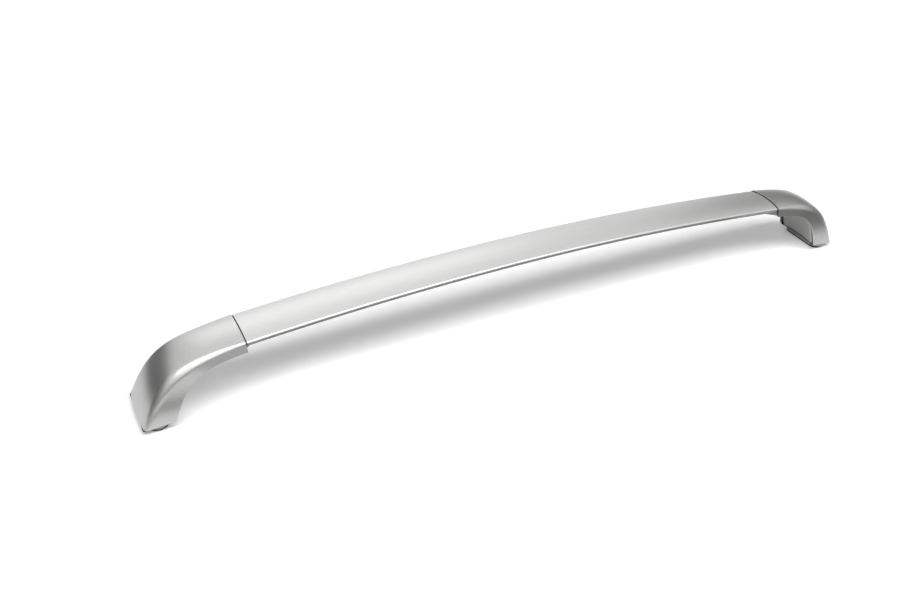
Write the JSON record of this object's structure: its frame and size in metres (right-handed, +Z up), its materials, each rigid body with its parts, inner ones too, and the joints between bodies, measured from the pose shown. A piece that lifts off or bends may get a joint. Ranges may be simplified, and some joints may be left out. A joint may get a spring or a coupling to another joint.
{
  "type": "roof rack crossbar",
  "caption": "Arched roof rack crossbar: a hollow bent aluminium bar on two cast legs under rounded end covers, with a bolt sleeve and a rubber pad in each foot.",
  "frame": {"origin": "on the ground, midway between the two feet and midway between front and back", "axes": "+X along the bar towards the right foot, +Y across the bar towards the back, +Z up"},
  "size_m": [1.167, 0.084, 0.1248],
  "materials": {
    "bar_aluminium": "extruded and satin anodised",
    "cover_paint": "moulded plastic, satin silver paint",
    "leg_casting": "die cast, silver powder coat",
    "black_rubber": "moulded black rubber",
    "zinc_steel": "zinc plated steel",
    "spring_steel": "tempered spring strip"
  },
  "bodies": {
    "root": {"crossbar_extrusion": "bar_aluminium", "right_end_cover": "cover_paint", "left_end_cover": "cover_paint", "right_leg_casting": "leg_casting", "left_leg_casting": "leg_casting", "right_seam_seal": "black_rubber", "left_seam_seal": "black_rubber", "right_base_gasket": "black_rubber", "left_base_gasket": "black_rubber", "right_boss_pad": "black_rubber", "left_boss_pad": "black_rubber", "right_bolt_bush": "zinc_steel", "left_bolt_bush": "zinc_steel", "right_bar_screws": "zinc_steel", "left_bar_screws": "zinc_steel", "right_bar_washers": "zinc_steel", "left_bar_washers": "zinc_steel", "right_spigot_inserts": "zinc_steel", "left_spigot_inserts": "zinc_steel", "right_cover_screws": "zinc_steel", "left_cover_screws": "zinc_steel", "right_cover_clips": "spring_steel", "left_cover_clips": "spring_steel"}
  },
  "joints": []
}
